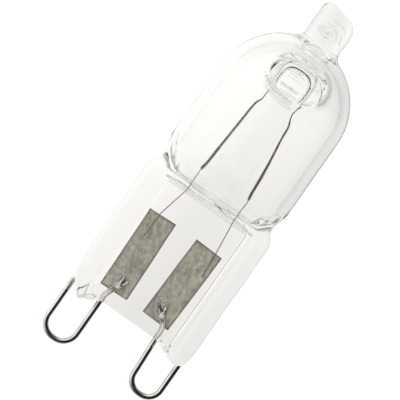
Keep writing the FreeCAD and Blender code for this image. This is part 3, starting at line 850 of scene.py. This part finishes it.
# How bright glass and metal see the sheet round the lamp: distance in millimetres and brightness
SHEET_REACH = 80
SHEET_ACROSS = [(-80, 0.6), (-30, 0.9), (-14, 1.04), (-5, 1.08), (-2, 0.98), (0, 0.94), (2, 0.94), (5, 0.99),
                (9, 0.93), (14, 0.82), (30, 0.6), (80, 0.45)]
SHEET_ALONG = [(-80, 0.6), (-35, 0.85), (-14, 0.91), (-2, 0.95), (4, 1.03), (14, 1.1), (18, 1.02), (20, 0.98),
               (40, 0.9), (80, 0.6)]
SHEET_IN_METAL = [(-80, 1.1), (-10, 1.0), (-4, 0.6), (4, 0.5), (10, 0.15), (60, 0.03)]
# The sheet's warm white in glass and metal, half its size, and the spot of the lamp the camera looks at
WARM_WHITE = (1, 0.985, 0.95, 1)
FLOOR_HALF = 2000
VIEW_CENTRE = (-0.9, 0, 13.1)


def spread_tones(add, value, tones):
    """A brightness that follows a list of distances and tones."""
    spot = add("ShaderNodeMapRange", {"From Min": -SHEET_REACH * MM, "From Max": SHEET_REACH * MM},
               {"Value": value})
    ramp = add("ShaderNodeValToRGB", links={"Fac": spot})
    stops = ramp.color_ramp.elements
    for place, tone in tones[2:]:
        stops.new(0.5 + 0.5 * place / SHEET_REACH)
    for stop, (place, tone) in zip(stops, tones):
        stop.position = 0.5 + 0.5 * place / SHEET_REACH
        stop.color = (tone, tone, tone, 1)
    return ramp


def floor_material(floor_colour):
    """Matt white sheet: the camera sees it white with a faint shadow, glass and metal see its shading."""
    material, add = new_material("Matt white sheet")
    sheet = add("ShaderNodeBsdfDiffuse", {"Color": rgba(floor_colour)})
    thin = add("ShaderNodeBsdfDiffuse", {"Color": (0.3, 0.3, 0.3, 1)})
    white = add("ShaderNodeEmission", {"Color": (1, 1, 1, 1), "Strength": 0.86})
    seen = add("ShaderNodeAddShader", links={0: thin, 1: white})
    place = add("ShaderNodeTexCoord")
    axes = add("ShaderNodeSeparateXYZ", links={0: place.outputs["Object"]})
    across = spread_tones(add, axes, SHEET_ACROSS)
    along = spread_tones(add, axes.outputs[1], SHEET_ALONG)
    shade = add("ShaderNodeMath", {"operation": "MULTIPLY"}, {0: across, 1: along})
    through = add("ShaderNodeEmission", {"Color": WARM_WHITE}, {"Strength": shade})
    path = add("ShaderNodeLightPath")
    mirror = spread_tones(add, axes, SHEET_IN_METAL)
    mirrored = add("ShaderNodeEmission", {"Color": WARM_WHITE}, {"Strength": mirror})
    matt = add("ShaderNodeMixShader", links={0: path.outputs["Is Glossy Ray"], 1: sheet, 2: mirrored})
    inner = add("ShaderNodeMixShader", links={0: path.outputs["Is Transmission Ray"], 1: matt, 2: through})
    whole = add("ShaderNodeMixShader", links={0: path.outputs["Is Camera Ray"], 1: inner, 2: seen})
    add("ShaderNodeOutputMaterial", links={"Surface": whole})
    return material


def tent_tone(add, place, direction, levels):
    """Brightness of the tent, smoothly from one side to the other along a direction."""
    side = add("ShaderNodeVectorMath", {"operation": "DOT_PRODUCT", 1: direction},
               {0: place.outputs["Generated"]})
    low, high, dark, bright = levels
    tone = add("ShaderNodeMapRange", {"interpolation_type": "SMOOTHSTEP", "From Min": low, "From Max": high,
                                      "To Min": dark, "To Max": bright}, {"Value": side.outputs["Value"]})
    return add("ShaderNodeBackground", {"Color": (1, 0.99, 0.97, 1)}, {"Strength": tone})


def studio_world(scene):
    """A pale tent round the lamp: bright on the left and behind the tip, darker on the right."""
    world = bpy.data.worlds.new("Pale studio tent")
    scene.world = world
    world.use_nodes = True
    world.node_tree.nodes.clear()
    add = partial(add_node, world.node_tree)
    place = add("ShaderNodeTexCoord")
    through = tent_tone(add, place, (-0.25, -0.1, 0.9), (-0.05, 0.45, 0.4, 1.1))
    mirrored = tent_tone(add, place, (-1.0, 0.15, 0.2), (0.1, 0.85, 0.02, 1.4))
    white = add("ShaderNodeBackground", {"Color": (1, 1, 1, 1), "Strength": 1.0})
    path = add("ShaderNodeLightPath")
    mixed = add("ShaderNodeMixShader",
                links={0: path.outputs["Is Transmission Ray"], 1: mirrored, 2: through})
    mixed = add("ShaderNodeMixShader", links={0: path.outputs["Is Camera Ray"], 1: mixed, 2: white})
    add("ShaderNodeOutputWorld", links={"Surface": mixed})


def soft_lamp(scene, name, place, target, size, power):
    """A soft box at a place in the row's frame, in millimetres, turned to its target."""
    data = bpy.data.lights.new(name, "AREA")
    data.shape = "RECTANGLE"
    data.size, data.size_y = size[0] * MM, size[1] * MM
    data.energy = power
    box = bpy.data.objects.new(name, data)
    box.location = Vector(place) * MM
    box.rotation_euler = (Vector(target) * MM - box.location).to_track_quat("-Z", "Y").to_euler()
    box.visible_glossy = box.visible_transmission = False
    scene.collection.objects.link(box)


class LAMP_OT_stage(bpy.types.Operator):
    """Lay the white floor, hang the soft lamps and set the camera square to the pinch"""
    bl_idname = "lamp.stage"
    bl_label = "Stage"

    def execute(self, context):
        scene = context.scene
        group = scene.lamp_stage
        scene.view_settings.view_transform = "Standard"
        # Light is led far along inside the glass, and each total reflection counts as gloss
        scene.cycles.max_bounces = scene.cycles.transmission_bounces = 32
        scene.cycles.glossy_bounces = 24
        half = FLOOR_HALF * MM
        mesh = bpy.data.meshes.new("floor")
        corners = [(-half, -half, 0), (half, -half, 0), (half, half, 0), (-half, half, 0)]
        mesh.from_pydata(corners, [], [(0, 1, 2, 3)])
        mesh.materials.append(floor_material(group.floor_colour))
        floor = bpy.data.objects.new("floor", mesh)
        scene.collection.objects.link(floor)
        studio_world(scene)
        soft_lamp(scene, "key", (-160, 60, 190), (0, 0, 5), (160, 200), group.key_power)
        soft_lamp(scene, "fill", (190, -60, 140), (0, 0, 5), (90, 140), group.fill_power)
        data = bpy.data.cameras.new("camera")
        data.lens = group.camera_lens
        data.sensor_width = 36
        distance = group.view_width * group.camera_lens / data.sensor_width
        data.clip_start, data.clip_end = distance * 0.05, distance * 50
        camera = bpy.data.objects.new("camera", data)
        turned = LAMP.to_3x3()
        across, back, up = turned.col[0], turned.col[1], turned.col[2]
        cosine, sine = math.cos(group.camera_lean), math.sin(group.camera_lean)
        right = across * cosine + up * sine
        top = up * cosine - across * sine
        basis = Matrix((right, top, -back)).transposed()
        target = LAMP @ (Vector(VIEW_CENTRE) * MM)
        camera.matrix_world = Matrix.Translation(target - back * distance) @ basis.to_4x4()
        scene.collection.objects.link(camera)
        scene.camera = camera
        return {"FINISHED"}


class LAMP_PT_panel(bpy.types.Panel):
    """The lamp's pieces, sizes and colours"""
    bl_label = "Capsule lamp"
    bl_idname = "LAMP_PT_panel"
    bl_space_type = "VIEW_3D"
    bl_region_type = "UI"
    bl_category = "Capsule lamp"

    def draw(self, context):
        for group in (context.scene.lamp_quartz, context.scene.lamp_metal, context.scene.lamp_stage):
            box = self.layout.box()
            for name in group.bl_rna.properties.keys():
                if name not in ("rna_type", "name"):
                    box.prop(group, name)
        for operator in OPERATORS:
            self.layout.operator(operator.bl_idname)


GROUPS = {"lamp_quartz": QuartzSizes, "lamp_metal": MetalSizes, "lamp_stage": StageSettings}
OPERATORS = [LAMP_OT_stage, LAMP_OT_quartz, LAMP_OT_contacts, LAMP_OT_foils, LAMP_OT_filament]
CLASSES = [*GROUPS.values(), *OPERATORS, LAMP_PT_panel]


def register():
    for cls in CLASSES:
        bpy.utils.register_class(cls)
    for name, cls in GROUPS.items():
        setattr(bpy.types.Scene, name, PointerProperty(type=cls))


def unregister():
    for name in GROUPS:
        delattr(bpy.types.Scene, name)
    for cls in reversed(CLASSES):
        bpy.utils.unregister_class(cls)


def main():
    register()
    bpy.ops.lamp.stage()
    bpy.ops.lamp.quartz()
    bpy.ops.lamp.contacts()
    bpy.ops.lamp.foils()
    bpy.ops.lamp.filament()


if __name__ == "__main__":
    main()
